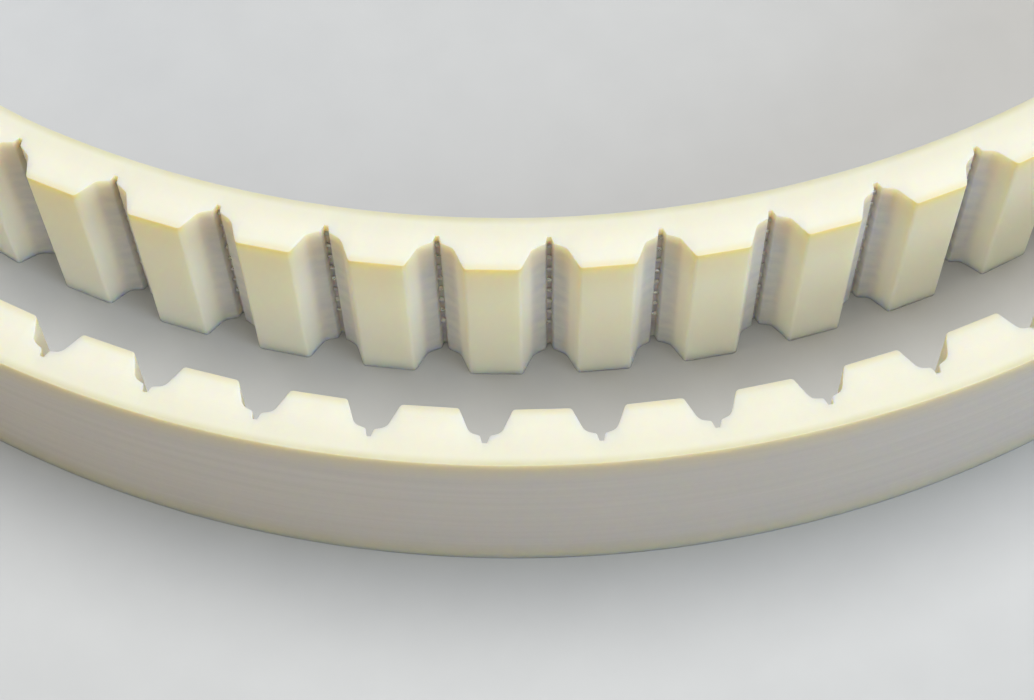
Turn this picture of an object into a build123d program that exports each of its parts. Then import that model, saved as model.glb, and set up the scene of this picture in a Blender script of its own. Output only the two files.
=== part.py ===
from build123d import *
from math import atan2, ceil, cos, degrees, radians, sin, tan
import os

# Endless timing belt with 5 mm pitch trapezoidal teeth (AT profile), cast in
# polyurethane around two steel tension cords. It stands on one slit edge,
# relaxed into a two-lobed kidney: the front strand curves as it would round a
# pulley, and the rear strand is bent backward, so that its teeth face the
# front strand's.
#
# Frame, in mm: +Z is the width, from slit edge to slit edge. +X runs along the
# loop's long side, and the loop is mirror-symmetric about X = 0. The origin is
# the middle of the loop's bounding box, on the slit edge that it stands on.
# "Up" in the tooth profile means into the loop, from the cords' pitch line.

# Belt size
PITCH = 5.0
TOOTH_COUNT = 91
WIDTH = 10.0
BACK = 0.9                # back face, below the pitch line

# Tooth, seen from the slit edge
TIP_HEIGHT = 1.8          # tooth tip, above the pitch line
TIP_WIDTH = 2.5
FLANK_ANGLE = 25.0        # each flank, from the tooth's own centre line
TIP_RADIUS = 0.20
ROOT_HEIGHT = 0.70        # where flank and groove floor would meet
ROOT_RADIUS = 0.55

# Notch that the winding nose of the mould leaves in the middle of each groove
LIP_HEIGHT = 0.50
LIP_WIDTH = 0.40
LIP_RADIUS = 0.13
NOTCH_HEIGHT = 0.15
NOTCH_WIDTH = 0.20

# Tension cords: an S-lay and a Z-lay cord, wound side by side
CORD_DIAMETER = 0.5
CORD_SPACING = 1.0        # across the width, centre to centre
CORD_TURNS = 4            # of each cord
CORD_MARGIN = 0.5         # from the slit edge to the first cord's centre

# Loop shape: radii of the pitch line, and how far each bend turns
FRONT_RADIUS, FRONT_TURN = 51.66, 29.0
FLANK_RADIUS = 120.0
SHOULDER_RADIUS, SHOULDER_TURN = 36.0, 30.0
LOBE_RADIUS, LOBE_TURN = 16.0, 150.0
EXIT_RADIUS = 40.0
REAR_RADIUS, REAR_TURN = 49.37, 28.0
STRAND_GAP = 10.5         # between the two pitch lines, at X = 0
TOOTH_OFFSET = -0.29      # first tooth's centre, along the belt from X = 0

LENGTH = PITCH * TOOTH_COUNT


def outward(angle):
    """Direction from a bend's centre to its path, counted from -Y towards +X."""
    return Vector(sin(radians(angle)), -cos(radians(angle)))


def half_loop(flank_turn):
    """Bends of the right half, as (signed radius, turn) pairs, and the lobe's centre.

    A positive radius turns left. The lobe leaves through an exit bend that
    touches the backward bend, and that one touches the rear strand's arc.
    """
    bends = [
        (FRONT_RADIUS, FRONT_TURN),
        (FLANK_RADIUS, flank_turn),
        (SHOULDER_RADIUS, SHOULDER_TURN),
        (LOBE_RADIUS, LOBE_TURN),
        (EXIT_RADIUS, 0.0),
    ]
    centre = Vector(0, FRONT_RADIUS)
    centres = [centre]
    angle = 0.0
    for (radius, turn), (next_radius, _) in zip(bends, bends[1:]):
        angle += turn
        centre = centre + outward(angle) * (radius - next_radius)
        centres.append(centre)

    rear_end = Vector(0, STRAND_GAP + REAR_RADIUS) + outward(REAR_TURN) * REAR_RADIUS
    inward = -outward(REAR_TURN)
    reach = centre - rear_end
    release_radius = (reach.dot(reach) - EXIT_RADIUS**2) / (2 * (reach.dot(inward) + EXIT_RADIUS))
    release_centre = rear_end + inward * release_radius
    contact = centre - release_centre
    contact_angle = degrees(atan2(contact.X, -contact.Y))
    bends[-1] = (EXIT_RADIUS, contact_angle + 180 - angle)
    bends.append((-release_radius, contact_angle - REAR_TURN))
    bends.append((-REAR_RADIUS, REAR_TURN))
    return bends, centres[3]


def path_length(bends):
    """Length of a chain of bends along the pitch line."""
    return sum(abs(radius) * radians(turn) for radius, turn in bends)


def solve_half_loop():
    """Half loop whose flank turn makes the pitch line as long as the belt."""
    low, high = 5.0, 60.0
    while high - low > 1e-12:
        middle = (low + high) / 2
        if path_length(half_loop(middle)[0]) < LENGTH / 2:
            low = middle
        else:
            high = middle
    return half_loop(low)


RIGHT_HALF, LOBE_CENTRE = solve_half_loop()
BENDS = RIGHT_HALF + RIGHT_HALF[::-1]
REAR_EDGE = LOBE_CENTRE.Y + LOBE_RADIUS + BACK
FRONT_Y = -(REAR_EDGE - BACK) / 2


def station(distance):
    """Point of the pitch line and its heading in degrees, from X = 0 in front."""
    point = Vector(0, FRONT_Y)
    heading = 0.0
    left = distance % LENGTH
    for radius, turn in BENDS:
        step = min(left, abs(radius) * radians(turn))
        centre = point - outward(heading) * radius
        heading += degrees(step / radius)
        point = centre + outward(heading) * radius
        left -= step
    return point, heading


def in_profile(distance, along, up):
    """Point given in the frame of the pitch line at a distance along the belt."""
    point, heading = station(distance)
    return point + outward(heading + 90) * along - outward(heading) * up


def back_line():
    """Outline of the smooth back, offset from the pitch line."""
    point = Vector(0, FRONT_Y - BACK)
    heading = 0.0
    for radius, turn in BENDS:
        size = turn if radius > 0 else -turn
        arc = JernArc(point, outward(heading + 90), abs(radius + BACK), size)
        point = arc @ 1
        heading += size


def tooth_line():
    """Outline of the toothed side. A tooth keeps its shape, and grooves bend."""
    root = TIP_WIDTH / 2 + (TIP_HEIGHT - ROOT_HEIGHT) * tan(radians(FLANK_ANGLE))
    radii = [LIP_RADIUS, ROOT_RADIUS, TIP_RADIUS, TIP_RADIUS, ROOT_RADIUS, LIP_RADIUS]
    for tooth in range(TOOTH_COUNT):
        middle = TOOTH_OFFSET + tooth * PITCH
        before = middle - PITCH / 2
        after = middle + PITCH / 2
        outline = [
            in_profile(before, NOTCH_WIDTH / 2, NOTCH_HEIGHT),
            in_profile(before, LIP_WIDTH / 2, LIP_HEIGHT),
            in_profile(middle, -root, ROOT_HEIGHT),
            in_profile(middle, -TIP_WIDTH / 2, TIP_HEIGHT),
            in_profile(middle, TIP_WIDTH / 2, TIP_HEIGHT),
            in_profile(middle, root, ROOT_HEIGHT),
            in_profile(after, -LIP_WIDTH / 2, LIP_HEIGHT),
            in_profile(after, -NOTCH_WIDTH / 2, NOTCH_HEIGHT),
        ]
        FilletPolyline(outline, radius=radii)
        Line(outline[-1], in_profile(after, NOTCH_WIDTH / 2, NOTCH_HEIGHT))


# Cord winding starts where the rear strand's backward bend ends on the left,
# and climbs by two cord spacings a turn.
CORD_FIRST_BEND = len(RIGHT_HALF) + 2
CORD_START = path_length(BENDS[:CORD_FIRST_BEND])
CORD_CLIMB = 2 * CORD_SPACING / LENGTH
CORD_STEP = 30.0          # largest turn of one swept piece


def cord_steps():
    """The cord's bends, cut into steps of at most CORD_STEP: (signed radius, turn)."""
    steps = []
    for radius, turn in BENDS[CORD_FIRST_BEND:] + BENDS[:CORD_FIRST_BEND]:
        count = ceil(turn / CORD_STEP)
        steps += [(radius, turn / count)] * count
    return steps * CORD_TURNS


def tension_cord(height):
    """One round steel cord that climbs from a height, wound four times round the loop.

    Each step is swept along a cubic curve, with tangents that keep the helix's
    slope, and the handle length that fits a circular arc.
    """
    point, heading = station(CORD_START)
    with BuildPart() as cord:
        for radius, turn in cord_steps():
            side = 1 if radius > 0 else -1
            handle = abs(radius) * tan(radians(turn) / 4) * 4 / 3
            rise = CORD_CLIMB * abs(radius) * radians(turn)
            next_heading = heading + turn * side
            next_point = point + (outward(next_heading) - outward(heading)) * radius
            start = Vector(point.X, point.Y, height)
            end = Vector(next_point.X, next_point.Y, height + rise)
            start_tangent = outward(heading + 90) + Vector(0, 0, CORD_CLIMB)
            end_tangent = outward(next_heading + 90) + Vector(0, 0, CORD_CLIMB)
            path = Bezier(
                start,
                start + start_tangent * handle,
                end - end_tangent * handle,
                end,
                mode=Mode.PRIVATE,
            )
            with BuildSketch(Plane(origin=start, x_dir=outward(heading), z_dir=start_tangent)):
                Circle(CORD_DIAMETER / 2)
            sweep(path=path, clean=False)
            point, heading, height = next_point, next_heading, height + rise
    return cord


# Tension cord with S lay
tension_cord_s = tension_cord(CORD_MARGIN)
tension_cord_s.part.label = "tension_cord_s"

# Tension cord with Z lay
tension_cord_z = tension_cord(CORD_MARGIN + CORD_SPACING)
tension_cord_z.part.label = "tension_cord_z"

# Belt body: back and teeth in one polyurethane casting, with the cords' channels
with BuildPart() as belt_body:
    with BuildSketch(Plane.XY):
        with BuildLine():
            back_line()
        make_face()
        with BuildLine():
            tooth_line()
        make_face(mode=Mode.SUBTRACT)
    extrude(amount=WIDTH)
    add([tension_cord_s.part, tension_cord_z.part], mode=Mode.SUBTRACT, clean=False)
belt_body.part.label = "belt_body"

os.makedirs("parts", exist_ok=True)
for piece in (belt_body, tension_cord_s, tension_cord_z):
    export_step(piece.part, f"parts/{piece.part.label}.step")
    box = piece.part.bounding_box()
    print(piece.part.label, len(piece.part.solids()), round(piece.part.volume, 2), box.min, box.max)
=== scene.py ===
from math import atan2, cos, degrees, pi, radians, sin, tan
from types import SimpleNamespace

import bmesh
import bpy
import numpy as np
from mathutils import Matrix, Vector


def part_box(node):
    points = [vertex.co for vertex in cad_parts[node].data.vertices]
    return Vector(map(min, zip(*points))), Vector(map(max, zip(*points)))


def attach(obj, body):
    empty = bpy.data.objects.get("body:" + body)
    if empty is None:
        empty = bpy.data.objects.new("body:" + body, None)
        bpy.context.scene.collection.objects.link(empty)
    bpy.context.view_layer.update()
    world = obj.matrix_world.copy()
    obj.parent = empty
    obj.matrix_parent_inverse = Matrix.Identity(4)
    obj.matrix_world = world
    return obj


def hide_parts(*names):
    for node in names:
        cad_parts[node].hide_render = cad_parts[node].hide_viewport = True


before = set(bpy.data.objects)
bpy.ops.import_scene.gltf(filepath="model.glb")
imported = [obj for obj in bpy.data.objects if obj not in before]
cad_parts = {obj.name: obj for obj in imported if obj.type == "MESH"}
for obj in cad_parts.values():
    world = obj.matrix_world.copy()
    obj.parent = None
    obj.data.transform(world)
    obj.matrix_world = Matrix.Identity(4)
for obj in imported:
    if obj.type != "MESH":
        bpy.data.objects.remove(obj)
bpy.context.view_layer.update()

MM = 0.001

# ---------------------------------------------------------------------------
# Belt dimensions, in mm and degrees, as in the CAD model. A height is counted
# from the cords' pitch line, into the loop. The width and the place of the
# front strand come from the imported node.
# ---------------------------------------------------------------------------
PITCH = 5.0
TOOTH_COUNT = 91
LENGTH = PITCH * TOOTH_COUNT
BACK = 0.9                  # smooth back, below the pitch line
TIP_HEIGHT, TIP_WIDTH, TIP_RADIUS = 1.8, 2.5, 0.20
FLANK_ANGLE = 25.0
ROOT_HEIGHT, ROOT_RADIUS = 0.70, 0.55
ROOT_REACH = TIP_WIDTH / 2 + (TIP_HEIGHT - ROOT_HEIGHT) * tan(radians(FLANK_ANGLE))
LIP_HEIGHT, LIP_WIDTH, LIP_RADIUS = 0.50, 0.40, 0.13
NOTCH_HEIGHT, NOTCH_WIDTH = 0.15, 0.20
CORD_RADIUS = 0.25
CORD_SPACING = 1.0          # across the width, centre to centre
CORD_TURNS = 4              # of each cord
CORD_MARGIN = 0.5           # from the slit edge to the first cord's centre

FRONT_RADIUS, FRONT_TURN = 51.66, 29.0
FLANK_RADIUS = 120.0
SHOULDER_RADIUS, SHOULDER_TURN = 36.0, 30.0
LOBE_RADIUS, LOBE_TURN = 16.0, 150.0
EXIT_RADIUS = 40.0
REAR_RADIUS, REAR_TURN = 49.37, 28.0
STRAND_GAP = 10.5           # between the two pitch lines, at X = 0
TOOTH_OFFSET = -0.29        # from X = 0 in front to the nearest tooth's middle

BOX_LOW, BOX_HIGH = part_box("belt_body")
WIDTH = (BOX_HIGH[2] - BOX_LOW[2]) / MM
FRONT_Y = BOX_LOW[1] / MM + BACK


# ---------------------------------------------------------------------------
# Pitch line: the same chain of tangent arcs as the CAD model's
# ---------------------------------------------------------------------------
def outward(angle):
    """Direction from a bend's centre to its path, in degrees from -Y towards +X."""
    return np.array([sin(radians(angle)), -cos(radians(angle))])


def half_loop(flank_turn):
    """Signed radii and turns of the right half, from the front to the rear.

    A positive radius turns left. The lobe leaves through an exit bend that
    touches the backward bend, and that one touches the rear strand's arc.
    """
    bends = [
        [FRONT_RADIUS, FRONT_TURN],
        [FLANK_RADIUS, flank_turn],
        [SHOULDER_RADIUS, SHOULDER_TURN],
        [LOBE_RADIUS, LOBE_TURN],
        [EXIT_RADIUS, 0.0],
    ]
    centre = np.array([0.0, FRONT_RADIUS])
    angle = 0.0
    for (radius, turn), (next_radius, _) in zip(bends, bends[1:]):
        angle += turn
        centre = centre + outward(angle) * (radius - next_radius)
    rear_end = np.array([0.0, STRAND_GAP + REAR_RADIUS]) + outward(REAR_TURN) * REAR_RADIUS
    inward = -outward(REAR_TURN)
    reach = centre - rear_end
    release_radius = (reach @ reach - EXIT_RADIUS**2) / (2 * (reach @ inward + EXIT_RADIUS))
    contact = centre - rear_end - inward * release_radius
    contact_angle = degrees(atan2(contact[0], -contact[1]))
    bends[-1][1] = contact_angle + 180 - angle
    bends.append([-release_radius, contact_angle - REAR_TURN])
    bends.append([-REAR_RADIUS, REAR_TURN])
    return bends


def path_length(bends):
    """Length of a chain of bends along the pitch line."""
    return sum(abs(radius) * radians(turn) for radius, turn in bends)


FLANK_TURN_RANGE = (5.0, 60.0)
HALVINGS = 60


def solve_half_loop():
    """The half loop whose flank turn makes it half as long as the belt."""
    low, high = FLANK_TURN_RANGE
    for _ in range(HALVINGS):
        middle = (low + high) / 2
        if path_length(half_loop(middle)) < LENGTH / 2:
            low = middle
        else:
            high = middle
    return half_loop(low)


RIGHT_HALF = solve_half_loop()
BENDS = RIGHT_HALF + RIGHT_HALF[::-1]

# Cord winding starts where the rear strand's backward bend ends on the left,
# and climbs by two cord spacings a turn.
CORD_FIRST_BEND = len(RIGHT_HALF) + 2
CORD_START = path_length(BENDS[:CORD_FIRST_BEND])
CORD_CLIMB = 2 * CORD_SPACING / LENGTH


def bend_table():
    """Start distance, centre, signed radius and start angle of each bend."""
    rows = []
    point = np.array([0.0, FRONT_Y])
    heading, start = 0.0, 0.0
    for radius, turn in BENDS:
        centre = point - outward(heading) * radius
        rows.append((start, centre[0], centre[1], radius, radians(heading)))
        heading += turn if radius > 0 else -turn
        point = centre + outward(heading) * radius
        start += abs(radius) * radians(turn)
    return np.array(rows)


BEND_TABLE = bend_table()


def stations(distance):
    """Points of the pitch line and unit vectors along and up (into the loop)."""
    distance = np.asarray(distance, float) % LENGTH
    row = np.searchsorted(BEND_TABLE[:, 0], distance, side="right") - 1
    start, centre_x, centre_y, radius, heading = BEND_TABLE[row].T
    angle = heading + (distance - start) / radius
    out = np.stack([np.sin(angle), -np.cos(angle)], -1)
    along = np.stack([np.cos(angle), np.sin(angle)], -1)
    point = np.stack([centre_x, centre_y], -1) + out * radius[..., None]
    return point, along, -out


def in_profile(distance, along, up):
    """Points given in the frames of the pitch line at distances along the belt."""
    point, tangent, normal = stations(distance)
    return point + tangent * np.asarray(along)[..., None] + normal * np.asarray(up)[..., None]


# ---------------------------------------------------------------------------
# One pitch of the tooth outline, as (along, up) pairs from groove to groove
# ---------------------------------------------------------------------------
LIP_STEPS, ROOT_STEPS, TIP_STEPS = 4, 6, 6      # pieces of each rounded corner
LONGEST_PIECE = 0.45


def rounded(corners, radii, arc_steps):
    """A polyline whose corners are arcs of the given radii."""
    corners = [np.array(corner, float) for corner in corners]
    points = [corners[0]]
    for before, corner, after, radius, steps in zip(
        corners, corners[1:], corners[2:], radii, arc_steps
    ):
        to_before = (before - corner) / np.linalg.norm(before - corner)
        to_after = (after - corner) / np.linalg.norm(after - corner)
        half = np.arccos(np.clip(to_before @ to_after, -1, 1)) / 2
        bisector = (to_before + to_after) / np.linalg.norm(to_before + to_after)
        centre = corner + bisector * radius / np.sin(half)
        first = corner + to_before * radius / np.tan(half) - centre
        last = corner + to_after * radius / np.tan(half) - centre
        sweep = np.arctan2(first[0] * last[1] - first[1] * last[0], first @ last)
        for turn in np.linspace(0, sweep, steps + 1):
            spin = np.array([[np.cos(turn), -np.sin(turn)], [np.sin(turn), np.cos(turn)]])
            points.append(centre + spin @ first)
    points.append(corners[-1])
    return np.array(points)


def divided(points, longest):
    """The same outline with no piece longer than a limit."""
    pieces = [points[0]]
    for start, end in zip(points, points[1:]):
        count = max(1, int(np.ceil(np.linalg.norm(end - start) / longest)))
        pieces += [start + (end - start) * step / count for step in range(1, count + 1)]
    return np.array(pieces)


def tooth_outline():
    """From one notch's middle, over a tooth, to the floor of the next notch."""
    half = PITCH / 2
    left = [
        (-half + NOTCH_WIDTH / 2, NOTCH_HEIGHT),
        (-half + LIP_WIDTH / 2, LIP_HEIGHT),
        (-ROOT_REACH, ROOT_HEIGHT),
        (-TIP_WIDTH / 2, TIP_HEIGHT),
    ]
    corners = left + [(-along, up) for along, up in left[::-1]]
    radii = [LIP_RADIUS, ROOT_RADIUS, TIP_RADIUS, TIP_RADIUS, ROOT_RADIUS, LIP_RADIUS]
    steps = [LIP_STEPS, ROOT_STEPS, TIP_STEPS, TIP_STEPS, ROOT_STEPS, LIP_STEPS]
    outline = divided(rounded(corners, radii, steps), LONGEST_PIECE)
    return np.vstack([[-half, NOTCH_HEIGHT], outline])


OUTLINE = tooth_outline()
FIRST_TOOTH = -26           # the seam of the arc-length map lies in the left lobe

# How far teeth and grooves of the casting stray from the drawing
CASTING_SEED = 5
TIP_SPREAD, GROOVE_SPREAD = 0.008, 0.012        # mm
LIP_SPREAD = 0.06                               # share of the notch's width


def smoothstep(low, high, value):
    """0 below a low limit, 1 above a high one, and a smooth ramp between."""
    share = np.clip((np.asarray(value, float) - low) / (high - low), 0, 1)
    return share * share * (3 - 2 * share)


def inner_ring():
    """Tooth outline round the loop: plan points, distance and height of each."""
    along = np.tile(OUTLINE[:, 0], TOOTH_COUNT)
    up = np.tile(OUTLINE[:, 1], TOOTH_COUNT)
    tooth = np.repeat(np.arange(TOOTH_COUNT), len(OUTLINE))
    middle = TOOTH_OFFSET + PITCH * (FIRST_TOOTH + tooth)
    side = np.sign(along)
    share = smoothstep(ROOT_REACH, PITCH / 2 - LIP_WIDTH / 2, np.abs(along))

    # Each tooth and each groove of the casting differs a little from the next
    chance = np.random.default_rng(CASTING_SEED)
    tip_rise = chance.normal(0, TIP_SPREAD, TOOTH_COUNT)[tooth]
    groove = (tooth + (side > 0)) % TOOTH_COUNT
    rise, shift, widening = (
        chance.normal(0, spread, TOOTH_COUNT)[groove]
        for spread in (GROOVE_SPREAD, GROOVE_SPREAD, LIP_SPREAD)
    )
    from_groove = (along - side * PITCH / 2) * (1 + widening * share) + shift * share
    along = from_groove + side * PITCH / 2
    up = up + rise * share + tip_rise * smoothstep(ROOT_HEIGHT, TIP_HEIGHT, up)

    in_tooth = in_profile(middle, along, up)
    in_groove = in_profile(middle + side * PITCH / 2, from_groove, up)
    share = share[:, None]
    return in_tooth * (1 - share) + in_groove * share, middle + along, up


# ---------------------------------------------------------------------------
# Mesh helpers
# ---------------------------------------------------------------------------
def ring_normals(ring, sign):
    """Unit normals of a closed plan outline, pointing out of the material."""
    step = np.roll(ring, -1, 0) - np.roll(ring, 1, 0)
    normal = np.stack([-step[:, 1], step[:, 0]], -1)
    return sign * normal / np.linalg.norm(normal, axis=1)[:, None]


def quads_between(first, second, count):
    """Quads that join two closed rings of vertices, by their start indices."""
    here = np.arange(count)
    after = (here + 1) % count
    return np.stack([first + here, first + after, second + after, second + here], -1)


def new_mesh_object(name, vertices, faces):
    """An object in the scene, made of vertices in metres and faces."""
    mesh = bpy.data.meshes.new(name)
    mesh.from_pydata(vertices.tolist(), [], faces.tolist())
    mesh.update()
    piece = bpy.data.objects.new(name, mesh)
    bpy.context.scene.collection.objects.link(piece)
    return piece


# ---------------------------------------------------------------------------
# Belt body: toothed wall, back wall and the two slit faces
# ---------------------------------------------------------------------------
EDGE = 0.035                # rounding of the slit edges
EDGE_STEPS = 3
WALL_MARGIN = 0.25          # from a slit edge to the first ring on the flat wall
SHARP_ANGLE = 35.0


def side_levels():
    """Heights over the slit edge and inward offsets of the wall's rings, upwards."""
    turns = np.linspace(0, pi / 2, EDGE_STEPS + 1)
    low = [(EDGE * (1 - sin(turn)), EDGE * (1 - cos(turn))) for turn in turns[::-1]]
    walls = [(z, 0.0) for z in (WALL_MARGIN, WIDTH / 2, WIDTH - WALL_MARGIN)]
    high = [(WIDTH - z, inset) for z, inset in low[::-1]]
    return low + walls + high


def build_belt():
    """One closed mesh: the toothed wall's rings come first, then the back wall's."""
    inner, distance, up = inner_ring()
    back = in_profile(distance, np.zeros_like(distance), np.full_like(distance, -BACK))
    inner_normal = ring_normals(inner, 1)
    back_normal = ring_normals(back, -1)
    count = len(inner)
    levels = side_levels()
    layers, heights, arcs = [], [], []
    for ring, normal, height in (
        (inner, inner_normal, up),
        (back, back_normal, np.full(count, -BACK)),
    ):
        for z, inset in levels:
            plan = ring - normal * inset
            layers.append(np.column_stack([plan, np.full(count, z)]))
            heights.append(height)
            arcs.append(distance)
    vertices = np.vstack(layers) * MM
    top = (len(levels) - 1) * count
    back_start = len(levels) * count
    faces = []
    for start in range(0, top, count):
        faces.append(quads_between(start, start + count, count)[:, ::-1])
        faces.append(quads_between(back_start + start, back_start + start + count, count))
    faces.append(quads_between(0, back_start, count))
    faces.append(quads_between(top, back_start + top, count)[:, ::-1])
    belt = new_mesh_object("belt_casting", vertices, np.vstack(faces))
    add_belt_maps(belt, np.concatenate(arcs), np.concatenate(heights))
    return belt


def add_belt_maps(belt, distance, height):
    """The materials' coordinates in mm: arc length and Z as UV, and the height."""
    mesh = belt.data
    up = mesh.attributes.new("height", "FLOAT", "POINT")
    up.data.foreach_set("value", height.astype(np.float32))
    corner = np.zeros(len(mesh.loops), np.int32)
    mesh.loops.foreach_get("vertex_index", corner)
    sizes = np.zeros(len(mesh.polygons), np.int32)
    mesh.polygons.foreach_get("loop_total", sizes)

    # All corners of a face stay on the same side of the loop's seam as its first one
    along = distance[corner]
    first = np.repeat(along[np.r_[0, np.cumsum(sizes)[:-1]]], sizes)
    along = along - LENGTH * np.round((along - first) / LENGTH)

    z = np.zeros(len(mesh.vertices) * 3)
    mesh.vertices.foreach_get("co", z)
    z = z.reshape(-1, 3)[:, 2][corner] / MM
    uv = mesh.uv_layers.new(name="belt")
    uv.data.foreach_set("uv", np.column_stack([along, z]).ravel().astype(np.float32))
    mesh.shade_smooth()
    mesh.set_sharp_from_angle(angle=radians(SHARP_ANGLE))


# ---------------------------------------------------------------------------
# Tension cords: round where they are bonded, twisted strands at each notch
# ---------------------------------------------------------------------------
LAY_LENGTH = 3.2            # along the cord, for one turn of its strands
STRANDS = 6
VALLEY_DEPTH = 0.26         # share of the cord's radius
VALLEY_SHARPNESS = 1.5

# Stations along a cord, from the middle of a notch: the strands stand out in
# full as far as BARE_REACH, and have faded into a round cord at TWIST_END.
BARE_REACH, TWIST_END = 0.28, 0.6
BARE_STATIONS = 8
BONDED_STATIONS = (1.0, PITCH / 2, PITCH - 1.0)
END_MARGIN = 0.05           # from a cord's end to its nearest other station

# Sides of a cord's section: finer towards the inside of the loop, as far as
# BARE_ANGLE each way, and coarser behind.
BARE_ANGLE = 78.0
BARE_SIDES, BONDED_SIDES = 15, 7


def cord_stations():
    """Distances along one cord, fine across each notch, and how twisted it is at each."""
    notch = PITCH / 2 + TOOTH_OFFSET
    length = LENGTH * CORD_TURNS
    first = np.ceil((CORD_START - notch) / PITCH) * PITCH + notch - CORD_START
    centres = np.arange(first, length, PITCH)
    around = np.r_[np.linspace(-BARE_REACH, BARE_REACH, BARE_STATIONS), BONDED_STATIONS]
    steps = (centres[:, None] + around[None, :]).ravel()
    steps = steps[(steps > END_MARGIN) & (steps < length - END_MARGIN)]
    steps = np.r_[0.0, steps, length]
    nearest = np.abs((steps + CORD_START - notch + PITCH / 2) % PITCH - PITCH / 2)
    return steps, 1 - smoothstep(BARE_REACH, TWIST_END, nearest)


def build_cord(name, height, lay):
    """One cord, wound as a helix; lay is 1 for S and -1 for Z."""
    steps, twisted = cord_stations()
    bare = np.linspace(-BARE_ANGLE, BARE_ANGLE, BARE_SIDES)
    bonded = np.linspace(BARE_ANGLE, 360 - BARE_ANGLE, BONDED_SIDES + 2)[1:-1]
    angles = np.radians(np.r_[bare, bonded])
    point, _, normal = stations(CORD_START + steps)
    z = height + CORD_CLIMB * steps
    phase = angles[None, :] * STRANDS / 2 - lay * STRANDS * pi * steps[:, None] / LAY_LENGTH
    valley = (1 - np.abs(np.cos(phase))) ** VALLEY_SHARPNESS
    radius = CORD_RADIUS * (1 - VALLEY_DEPTH * valley * twisted[:, None])
    plan = point[:, None, :] + normal[:, None, :] * (radius * np.cos(angles))[..., None]
    level = z[:, None] + radius * np.sin(angles)
    vertices = np.concatenate([plan, level[..., None]], -1).reshape(-1, 3) * MM
    rings, sides = len(steps), len(angles)
    starts = range(0, (rings - 1) * sides, sides)
    faces = np.vstack([quads_between(start, start + sides, sides) for start in starts])
    piece = new_mesh_object(name, vertices, faces)
    close_ends(piece, rings, sides)
    piece.data.shade_smooth()
    return piece


def close_ends(piece, rings, sides):
    """Caps on the first and the last ring of a cord."""
    mesh = bmesh.new()
    mesh.from_mesh(piece.data)
    mesh.verts.ensure_lookup_table()
    mesh.faces.new([mesh.verts[side] for side in range(sides)])
    mesh.faces.new([mesh.verts[(rings - 1) * sides + side] for side in reversed(range(sides))])
    bmesh.ops.recalc_face_normals(mesh, faces=mesh.faces)
    mesh.to_mesh(piece.data)
    mesh.free()


# ---------------------------------------------------------------------------
# Materials. Colours are linear.
# ---------------------------------------------------------------------------
RISE, FALL = (0.0, 1.0), (1.0, 0.0)             # ends of a mask over a band of values
NOISE_RANGE, NOISE_MIDDLE = (0.2, 0.8), (0.3, 0.7)
WAVE = (-1.0, 1.0)                              # range of a cosine


class Nodes:
    """Short calls for building a node tree."""

    def __init__(self, material):
        material.use_nodes = True
        self.tree = material.node_tree
        self.tree.nodes.clear()

    def add(self, kind, **settings):
        node = self.tree.nodes.new(kind)
        for key, value in settings.items():
            setattr(node, key, value)
        return node

    def link(self, source, target):
        self.tree.links.new(source, target)

    def put(self, value, socket):
        """Links a value that is a socket, and otherwise sets it."""
        if isinstance(value, bpy.types.NodeSocket):
            self.link(value, socket)
        else:
            socket.default_value = value

    def math(self, operation, first, second=0.0):
        node = self.add("ShaderNodeMath", operation=operation)
        self.put(first, node.inputs[0])
        self.put(second, node.inputs[1])
        return node.outputs[0]

    def times(self, product, *factors):
        for factor in factors:
            product = self.math("MULTIPLY", product, factor)
        return product

    def span(self, value, band, ends=RISE):
        """A smooth ramp from one end to the other while a value crosses a band."""
        node = self.add("ShaderNodeMapRange", interpolation_type="SMOOTHSTEP")
        self.put(value, node.inputs["Value"])
        node.inputs["From Min"].default_value, node.inputs["From Max"].default_value = band
        node.inputs["To Min"].default_value, node.inputs["To Max"].default_value = ends
        return node.outputs[0]

    def noise(self, vector, scale, detail, roughness=0.55):
        node = self.add("ShaderNodeTexNoise")
        self.put(vector, node.inputs["Vector"])
        node.inputs["Scale"].default_value = scale
        node.inputs["Detail"].default_value = detail
        node.inputs["Roughness"].default_value = roughness
        return node.outputs["Fac"]

    def streaks(self, vector, along, across, detail, roughness=0.55):
        """Noise with its own scale in each of the first two directions."""
        node = self.add("ShaderNodeVectorMath", operation="MULTIPLY")
        self.put(vector, node.inputs[0])
        node.inputs[1].default_value = (along, across, 1.0)
        return self.noise(node.outputs[0], 1.0, detail, roughness)

    def mix(self, share, first, second):
        """Two colours mixed. The node's colour sockets are inputs 6, 7 and output 2."""
        node = self.add("ShaderNodeMix", data_type="RGBA")
        self.put(share, node.inputs["Factor"])
        self.put(first, node.inputs[6])
        self.put(second, node.inputs[7])
        return node.outputs[2]

    def bump(self, height, distance, strength, below=None):
        node = self.add("ShaderNodeBump")
        node.inputs["Strength"].default_value = strength
        node.inputs["Distance"].default_value = distance
        self.put(height, node.inputs["Height"])
        if below is not None:
            self.put(below, node.inputs["Normal"])
        return node.outputs["Normal"]


def new_material(name):
    """A material, its nodes, and its shader linked to the output."""
    material = bpy.data.materials.new(name)
    nodes = Nodes(material)
    output = nodes.add("ShaderNodeOutputMaterial")
    shader = nodes.add("ShaderNodeBsdfPrincipled")
    nodes.link(shader.outputs[0], output.inputs["Surface"])
    return material, nodes, shader


# ---------------------------------------------------------------------------
# Polyurethane. Bands of height are in mm over the pitch line, and bands across
# the width are in mm over the lower slit edge.
# ---------------------------------------------------------------------------
SLIT_FACING = (0.5, 0.9)            # vertical part of the normal
BACK_BAND = (-0.85, -0.60)
FLOOR_BAND = (0.40, 1.15)           # from under a notch's lips to partway up the flank
TIP_BAND = (1.35, 1.75)             # from the flank to the tooth's tip
EDGE_UPPER, EDGE_LOWER = (9.2, 9.95), (0.05, 0.8)


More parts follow.
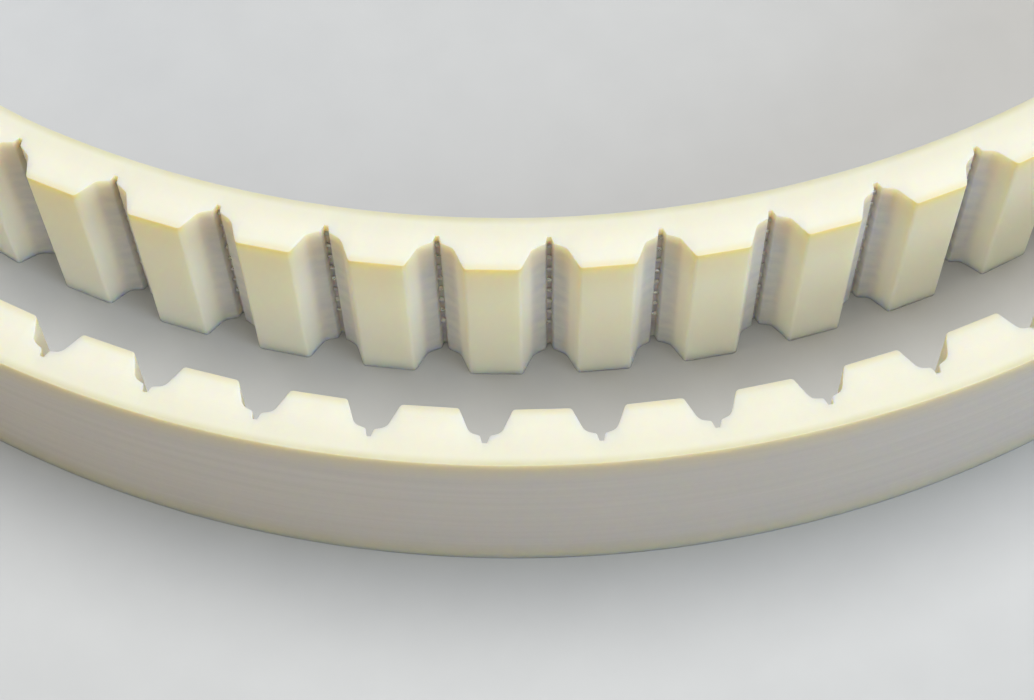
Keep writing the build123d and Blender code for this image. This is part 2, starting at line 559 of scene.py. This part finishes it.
def near_edges(nodes, across, upper, lower):
    """1 at both slit edges and 0 between them."""
    return nodes.math("MAXIMUM", nodes.span(across, upper), nodes.span(across, lower, FALL))


def belt_places(nodes):
    """Where a point lies: its coordinates, and masks for the zones of the belt."""
    uv = nodes.add("ShaderNodeUVMap", uv_map="belt").outputs[0]
    split = nodes.add("ShaderNodeSeparateXYZ")
    nodes.link(uv, split.inputs[0])
    along, across = split.outputs[0], split.outputs[1]
    height = nodes.add("ShaderNodeAttribute", attribute_name="height").outputs["Fac"]
    section = nodes.add("ShaderNodeCombineXYZ")
    nodes.link(along, section.inputs[0])
    nodes.link(height, section.inputs[1])

    normal = nodes.add("ShaderNodeNewGeometry").outputs["Normal"]
    facing = nodes.add("ShaderNodeSeparateXYZ")
    nodes.link(normal, facing.inputs[0])
    slit = nodes.span(nodes.math("ABSOLUTE", facing.outputs[2]), SLIT_FACING)
    wall = nodes.math("SUBTRACT", 1.0, slit)
    back = nodes.times(wall, nodes.span(height, BACK_BAND, FALL))

    # A wave that peaks over each cord
    climbed = nodes.times(nodes.math("SUBTRACT", along, CORD_START), CORD_CLIMB)
    over_first = nodes.math("SUBTRACT", nodes.math("SUBTRACT", across, CORD_MARGIN), climbed)
    cords = nodes.math("COSINE", nodes.times(over_first, 2 * pi / CORD_SPACING))
    return SimpleNamespace(
        uv=uv,
        across=across,
        height=height,
        section=section.outputs[0],
        place=nodes.add("ShaderNodeTexCoord").outputs["Object"],
        slit=slit,
        back=back,
        toothed=nodes.math("SUBTRACT", wall, back),
        edge=near_edges(nodes, across, EDGE_UPPER, EDGE_LOWER),
        cords=cords,
    )


RESIN_CREAM, RESIN_YELLOW = (0.955, 0.922, 0.795, 1), (0.965, 0.90, 0.70, 1)
# Painted glow: across this band the resin turns yellower towards the upper slit edge, standing
# in for light from above shining through
RESIN_GLOW_BAND = (1.0, 9.0)
RESIN_CLOUDS = 0.25                 # share of the change that is cloudy, not a gradient


def resin_colour(nodes, belt):
    """Cloudy cream, with a painted glow: yellower towards the upper slit edge, as if lit
    through from above.
    """
    clouds = nodes.noise(belt.place, scale=160.0, detail=4.0)
    clouds = nodes.span(clouds, NOISE_MIDDLE, (0.0, RESIN_CLOUDS))
    # Painted glow, not the resin's own colour: yellower towards the upper slit edge
    gradient = nodes.span(belt.across, RESIN_GLOW_BAND, (0.0, 1 - RESIN_CLOUDS))
    return nodes.mix(nodes.math("ADD", clouds, gradient), RESIN_CREAM, RESIN_YELLOW)


# Painted shade: the slit faces' colours are greyer than the resin itself, to tone down the
# strong light from above on them
PAINTED_SHADE_CUT_BODY, PAINTED_SHADE_CUT_TEETH = (0.70, 0.688, 0.588, 1), (0.736, 0.723, 0.632, 1)
# Painted glow: yellow along the tooth tips and beside the back, where light shines through the
# thin edges
PAINTED_TIP_GLOW, PAINTED_BACK_EDGE_GLOW = (0.745, 0.67, 0.46, 1), (0.60, 0.565, 0.385, 1)
CUT_MARKS = (0.69, 0.675, 0.575, 1)
CUT_TEETH_BAND, PAINTED_TIP_GLOW_BAND, PAINTED_BACK_EDGE_GLOW_BAND = (-0.5, 0.9), (1.4, 1.8), (-0.93, -0.5)
CUT_MARKS_RANGE, CUT_MARKS_SHARE = (0.35, 0.75), 0.4


def slit_colour(nodes, belt):
    """Knife-cut faces with fine marks. They are painted greyer than the resin as painted shade
    that tones down the strong light from above. A painted yellow glow runs along the tips and
    beside the back, where light shines through the thin edges.
    """
    marks = nodes.noise(belt.place, scale=420.0, detail=4.0)
    marks = nodes.span(marks, CUT_MARKS_RANGE, (0.0, CUT_MARKS_SHARE))
    # Painted shade greys the cut faces, and painted glow yellows them at the tips and beside
    # the back
    colour = nodes.mix(nodes.span(belt.height, CUT_TEETH_BAND), PAINTED_SHADE_CUT_BODY, PAINTED_SHADE_CUT_TEETH)
    colour = nodes.mix(nodes.span(belt.height, PAINTED_TIP_GLOW_BAND), colour, PAINTED_TIP_GLOW)
    colour = nodes.mix(nodes.span(belt.height, PAINTED_BACK_EDGE_GLOW_BAND, FALL), colour, PAINTED_BACK_EDGE_GLOW)
    return nodes.mix(marks, colour, CUT_MARKS)


FLANK_COLOUR, FLANK_SHARE = (0.935, 0.912, 0.835, 1), 0.65


def add_flanks(nodes, belt, colour):
    """Flanks and grooves, less yellow than the tips."""
    share = nodes.times(belt.toothed, nodes.span(belt.height, TIP_BAND, (FLANK_SHARE, 0.0)))
    return nodes.mix(share, colour, FLANK_COLOUR)


BACK_PALE, BACK_DARK = (0.61, 0.566, 0.515, 1), (0.58, 0.536, 0.48, 1)
BACK_CORD, BACK_CORD_SHARE = (0.47, 0.455, 0.425, 1), 0.09
BACK_TAN, BACK_TAN_SHARE = (0.62, 0.56, 0.38, 1), 0.75
BACK_TAN_UPPER, BACK_TAN_LOWER = (8.0, 9.9), (0.1, 2.0)
# Painted glow: under the upper slit edge the back gives way to the resin's yellow, standing in
# for light from above leaking out
PAINTED_BACK_GLOW_BAND, PAINTED_BACK_GLOW_SHARE = (9.6, 10.0), 0.82


def add_back(nodes, belt, colour):
    """Cords seen through the back: greyish streaks, tan beside the slit edges, and a painted
    glow under the upper edge, where the resin's yellow stands in for light from above leaking
    out.
    """
    streaks = nodes.streaks(belt.uv, along=0.05, across=2.6, detail=5.0, roughness=0.6)
    through = nodes.mix(nodes.span(streaks, NOISE_MIDDLE), BACK_PALE, BACK_DARK)
    over_cord = nodes.span(belt.cords, WAVE, (0.0, BACK_CORD_SHARE))
    through = nodes.mix(over_cord, through, BACK_CORD)
    tan_edge = near_edges(nodes, belt.across, BACK_TAN_UPPER, BACK_TAN_LOWER)
    through = nodes.mix(nodes.times(tan_edge, BACK_TAN_SHARE), through, BACK_TAN)
    # Painted glow: less of the back's colour right under the upper edge
    seen = nodes.span(belt.across, PAINTED_BACK_GLOW_BAND, (1.0, PAINTED_BACK_GLOW_SHARE))
    return nodes.mix(nodes.times(belt.back, seen), colour, through)


GROOVE_GREY = (0.60, 0.61, 0.65, 1)
GROOVE_MOTTLE, GROOVE_CORDS = (0.75, 1.0), (0.9, 1.0)


def add_grooves(nodes, belt, colour):
    """Cords seen through the thin floor of the grooves, as a mottled cool grey."""
    mottle = nodes.streaks(belt.uv, along=1.2, across=1.6, detail=3.0)
    mottle = nodes.span(mottle, NOISE_MIDDLE, GROOVE_MOTTLE)
    mottle = nodes.times(mottle, nodes.span(belt.cords, WAVE, GROOVE_CORDS))
    floor = nodes.times(belt.toothed, nodes.span(belt.height, FLOOR_BAND, FALL))
    inside = nodes.math("SUBTRACT", 1.0, belt.edge)
    return nodes.mix(nodes.times(floor, inside, mottle), colour, GROOVE_GREY)


# Painted glow: warm colour under the upper slit edge of the toothed wall, standing in for
# light from above shining through; the rim's colours below are painted glow too
PAINTED_WARM_GLOW, PAINTED_WARM_GLOW_BAND, PAINTED_WARM_GLOW_SHARE = (0.96, 0.83, 0.58, 1), (7.0, 9.5), 0.4
GLOW_PALE, GLOW_DEEP = (0.97, 0.85, 0.47, 1), (0.91, 0.71, 0.31, 1)
GLOW_BAND = (9.5, 10.0)
RIM_UPPER, RIM_LOWER, RIM_LOWER_SHARE = (9.1, 9.97), (0.03, 0.9), 0.4
RIM_ON_TIPS, RIM_ON_BACK = 0.8, 0.15


def add_painted_glow(nodes, belt, colour):
    """Painted glow: a broad warm band under the upper slit edge of the toothed wall, and a
    warm rim where light leaks out beside the slit edges, most at the upper one.
    """
    # Painted warm glow, towards the upper edge only
    warm = nodes.times(belt.toothed, nodes.span(belt.across, PAINTED_WARM_GLOW_BAND, (0.0, PAINTED_WARM_GLOW_SHARE)))
    colour = nodes.mix(warm, colour, PAINTED_WARM_GLOW)
    lower = nodes.span(belt.across, RIM_LOWER, (RIM_LOWER_SHARE, 0.0))
    rim = nodes.math("ADD", nodes.span(belt.across, RIM_UPPER), lower)
    on_tips = nodes.times(belt.toothed, nodes.span(belt.height, TIP_BAND, (0.0, RIM_ON_TIPS)))
    strength = nodes.math("ADD", on_tips, nodes.times(belt.back, RIM_ON_BACK))
    glow = nodes.mix(nodes.span(belt.across, GLOW_BAND), GLOW_PALE, GLOW_DEEP)
    return nodes.mix(nodes.times(rim, strength), colour, glow)


NOTCH_STEEL, NOTCH_BAND = (0.45, 0.44, 0.39, 1), (0.14, 0.46)
NOTCH_TO_EDGE, NOTCH_TO_CORD = (1.0, 0.1), (0.15, 0.35)


def add_notches(nodes, belt, colour):
    """Steel showing through at the bottom of the notches."""
    share = nodes.times(
        belt.toothed,
        nodes.span(belt.height, NOTCH_BAND, FALL),
        nodes.span(belt.edge, (0.0, 1.0), NOTCH_TO_EDGE),
        nodes.span(belt.cords, WAVE, NOTCH_TO_CORD),
    )
    return nodes.mix(share, colour, NOTCH_STEEL)


SATIN, SLIT_MATT = (0.40, 0.52), 0.16           # roughness, and what a slit face adds


def satin_finish(nodes, belt):
    """Roughness: satin with a fine grain, and matt on the slit faces."""
    fine = nodes.noise(belt.place, scale=5200.0, detail=2.0)
    satin = nodes.span(fine, NOISE_RANGE, SATIN)
    return nodes.math("ADD", satin, nodes.times(belt.slit, SLIT_MATT))


KNIFE_DEPTH, DRAWN_DEPTH, GRAIN_DEPTH = 0.012 * MM, 0.010 * MM, 0.015 * MM


def belt_relief(nodes, belt):
    """Knife lines on the slit faces, drawn lines on the back, moulded grain all over."""
    knife = nodes.streaks(belt.section, along=0.35, across=16.0, detail=4.0)
    relief = nodes.bump(nodes.times(knife, belt.slit), KNIFE_DEPTH, strength=0.5)
    drawn = nodes.streaks(belt.uv, along=0.25, across=14.0, detail=4.0)
    relief = nodes.bump(nodes.times(drawn, belt.back), DRAWN_DEPTH, strength=0.4, below=relief)
    grain = nodes.noise(belt.place, scale=1500.0, detail=4.0)
    return nodes.bump(grain, GRAIN_DEPTH, strength=0.5, below=relief)


def polyurethane():
    """Cast polyurethane: cream and slightly translucent, greyer where cords lie close, with
    painted glow beside the slit edges and painted shade on the slit faces.
    """
    material, nodes, shader = new_material("cast_polyurethane")
    belt = belt_places(nodes)
    colour = nodes.mix(belt.slit, resin_colour(nodes, belt), slit_colour(nodes, belt))
    colour = add_flanks(nodes, belt, colour)
    colour = add_back(nodes, belt, colour)
    colour = add_grooves(nodes, belt, colour)
    colour = add_painted_glow(nodes, belt, colour)
    colour = add_notches(nodes, belt, colour)
    nodes.link(colour, shader.inputs["Base Color"])
    nodes.link(satin_finish(nodes, belt), shader.inputs["Roughness"])
    nodes.link(belt_relief(nodes, belt), shader.inputs["Normal"])
    shader.inputs["Subsurface Weight"].default_value = 0.9
    shader.inputs["Subsurface Radius"].default_value = (1.0, 0.74, 0.27)
    shader.inputs["Subsurface Scale"].default_value = 1.7 * MM
    shader.inputs["Subsurface Anisotropy"].default_value = 0.3
    shader.inputs["Specular IOR Level"].default_value = 0.42
    return material


# ---------------------------------------------------------------------------
# Steel of the cords, and the floor
# ---------------------------------------------------------------------------
STEEL_DARK, STEEL_BRIGHT = (0.45, 0.45, 0.43, 1), (0.70, 0.69, 0.67, 1)
STEEL_ROUGHNESS = (0.22, 0.48)
STEEL_GRAIN_DEPTH = 0.01 * MM
FLOOR_DARK, FLOOR_PALE = (0.48, 0.49, 0.51, 1), (0.52, 0.53, 0.55, 1)


def stranded_steel():
    """Bright drawn wire with a fine grain."""
    material, nodes, shader = new_material("stranded_steel")
    place = nodes.add("ShaderNodeTexCoord").outputs["Object"]
    grain = nodes.noise(place, scale=6000.0, detail=3.0)
    nodes.link(nodes.mix(grain, STEEL_DARK, STEEL_BRIGHT), shader.inputs["Base Color"])
    nodes.link(nodes.span(grain, NOISE_RANGE, STEEL_ROUGHNESS), shader.inputs["Roughness"])
    nodes.link(nodes.bump(grain, STEEL_GRAIN_DEPTH, strength=0.5), shader.inputs["Normal"])
    shader.inputs["Metallic"].default_value = 0.8
    return material


def floor_paper():
    """Pale matt studio floor with a faint grain."""
    material, nodes, shader = new_material("studio_floor")
    place = nodes.add("ShaderNodeTexCoord").outputs["Object"]
    grain = nodes.noise(place, scale=300.0, detail=3.0)
    nodes.link(nodes.mix(grain, FLOOR_DARK, FLOOR_PALE), shader.inputs["Base Color"])
    shader.inputs["Roughness"].default_value = 0.9
    return material


def give(piece, material):
    """Makes a material the only one of a piece."""
    piece.data.materials.clear()
    piece.data.materials.append(material)


# ---------------------------------------------------------------------------
# Pieces
# ---------------------------------------------------------------------------
belt = build_belt()
give(belt, polyurethane())
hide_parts("belt_body")
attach(belt, "root")

steel = stranded_steel()
for node, first_height, lay in (
    ("tension_cord_s", CORD_MARGIN, 1),
    ("tension_cord_z", CORD_MARGIN + CORD_SPACING, -1),
):
    cord = build_cord(node + "_strands", first_height, lay)
    give(cord, steel)
    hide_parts(node)
    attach(cord, "root")


# ---------------------------------------------------------------------------
# Floor, light and camera, in metres
# ---------------------------------------------------------------------------
FLOOR_SIZE = 3.0
SKY_COLOUR, SKY_STRENGTH = (1.0, 0.96, 0.88, 1), 0.09
LIGHT_TARGET = Vector((0, 0, 0))


def build_floor():
    bpy.ops.mesh.primitive_plane_add(size=FLOOR_SIZE, location=(0, 0, 0))
    floor = bpy.context.active_object
    floor.name = "floor"
    give(floor, floor_paper())


def area_light(name, place, size, power, colour):
    """A round light that faces the middle of the loop."""
    data = bpy.data.lights.new(name, "AREA")
    data.shape = "DISK"
    data.size = size
    data.energy = power
    data.color = colour
    light = bpy.data.objects.new(name, data)
    light.location = place
    light.rotation_euler = (LIGHT_TARGET - Vector(place)).to_track_quat("-Z", "Y").to_euler()
    bpy.context.scene.collection.objects.link(light)


def build_light():
    """A dim warm room, a large light overhead, two cool windows and a warm lamp."""
    world = bpy.data.worlds.new("studio")
    bpy.context.scene.world = world
    world.use_nodes = True
    sky = world.node_tree.nodes["Background"]
    sky.inputs["Color"].default_value = SKY_COLOUR
    sky.inputs["Strength"].default_value = SKY_STRENGTH
    for name, place, size, power, colour in (
        ("overhead", (0.05, 0.15, 0.75), 0.6, 6.3, (1.0, 0.985, 0.94)),
        ("window", (0.5, -0.45, 0.45), 0.5, 2.6, (0.81, 0.905, 1.0)),
        ("side_window", (0.7, -0.25, 0.35), 0.5, 1.1, (0.70, 0.85, 1.0)),
        ("lamp", (-0.6, -0.35, 0.35), 0.5, 1.1, (1.0, 0.86, 0.54)),
    ):
        area_light(name, place, size, power, colour)


# The camera, solved from the teeth of both strands: its lens and sensor in mm,
# its angles in degrees, and its place in mm from the front strand's pitch line
# at X = 0, on the floor.
LENS, SENSOR = 79.79501, 36.0
YAW, PITCH_DOWN, ROLL = 0.1229, 61.7742, -1.5557
CAMERA_FROM_FRONT = (-1.3902, -42.433, 97.7652)
CLIP_START, CLIP_END = 0.005, 20.0


def build_camera():
    """The camera stands close in front of the front strand and looks steeply down."""
    data = bpy.data.cameras.new("camera")
    data.sensor_width = SENSOR
    data.lens = LENS
    data.clip_start = CLIP_START
    data.clip_end = CLIP_END
    camera = bpy.data.objects.new("camera", data)
    yaw, down, roll = radians(YAW), radians(PITCH_DOWN), radians(ROLL)
    forward = Vector((sin(yaw) * cos(down), cos(yaw) * cos(down), -sin(down)))
    level = Vector((cos(yaw), -sin(yaw), 0))
    upright = level.cross(forward)
    right = level * cos(roll) + upright * sin(roll)
    up = upright * cos(roll) - level * sin(roll)
    x, y, z = CAMERA_FROM_FRONT
    place = Vector((x, y + FRONT_Y, z)) * MM
    turn = Matrix((right, up, -forward)).transposed().to_4x4()
    camera.matrix_world = Matrix.Translation(place) @ turn
    bpy.context.scene.collection.objects.link(camera)
    bpy.context.scene.camera = camera


build_floor()
build_light()
build_camera()
bpy.context.scene.view_settings.view_transform = "Standard"
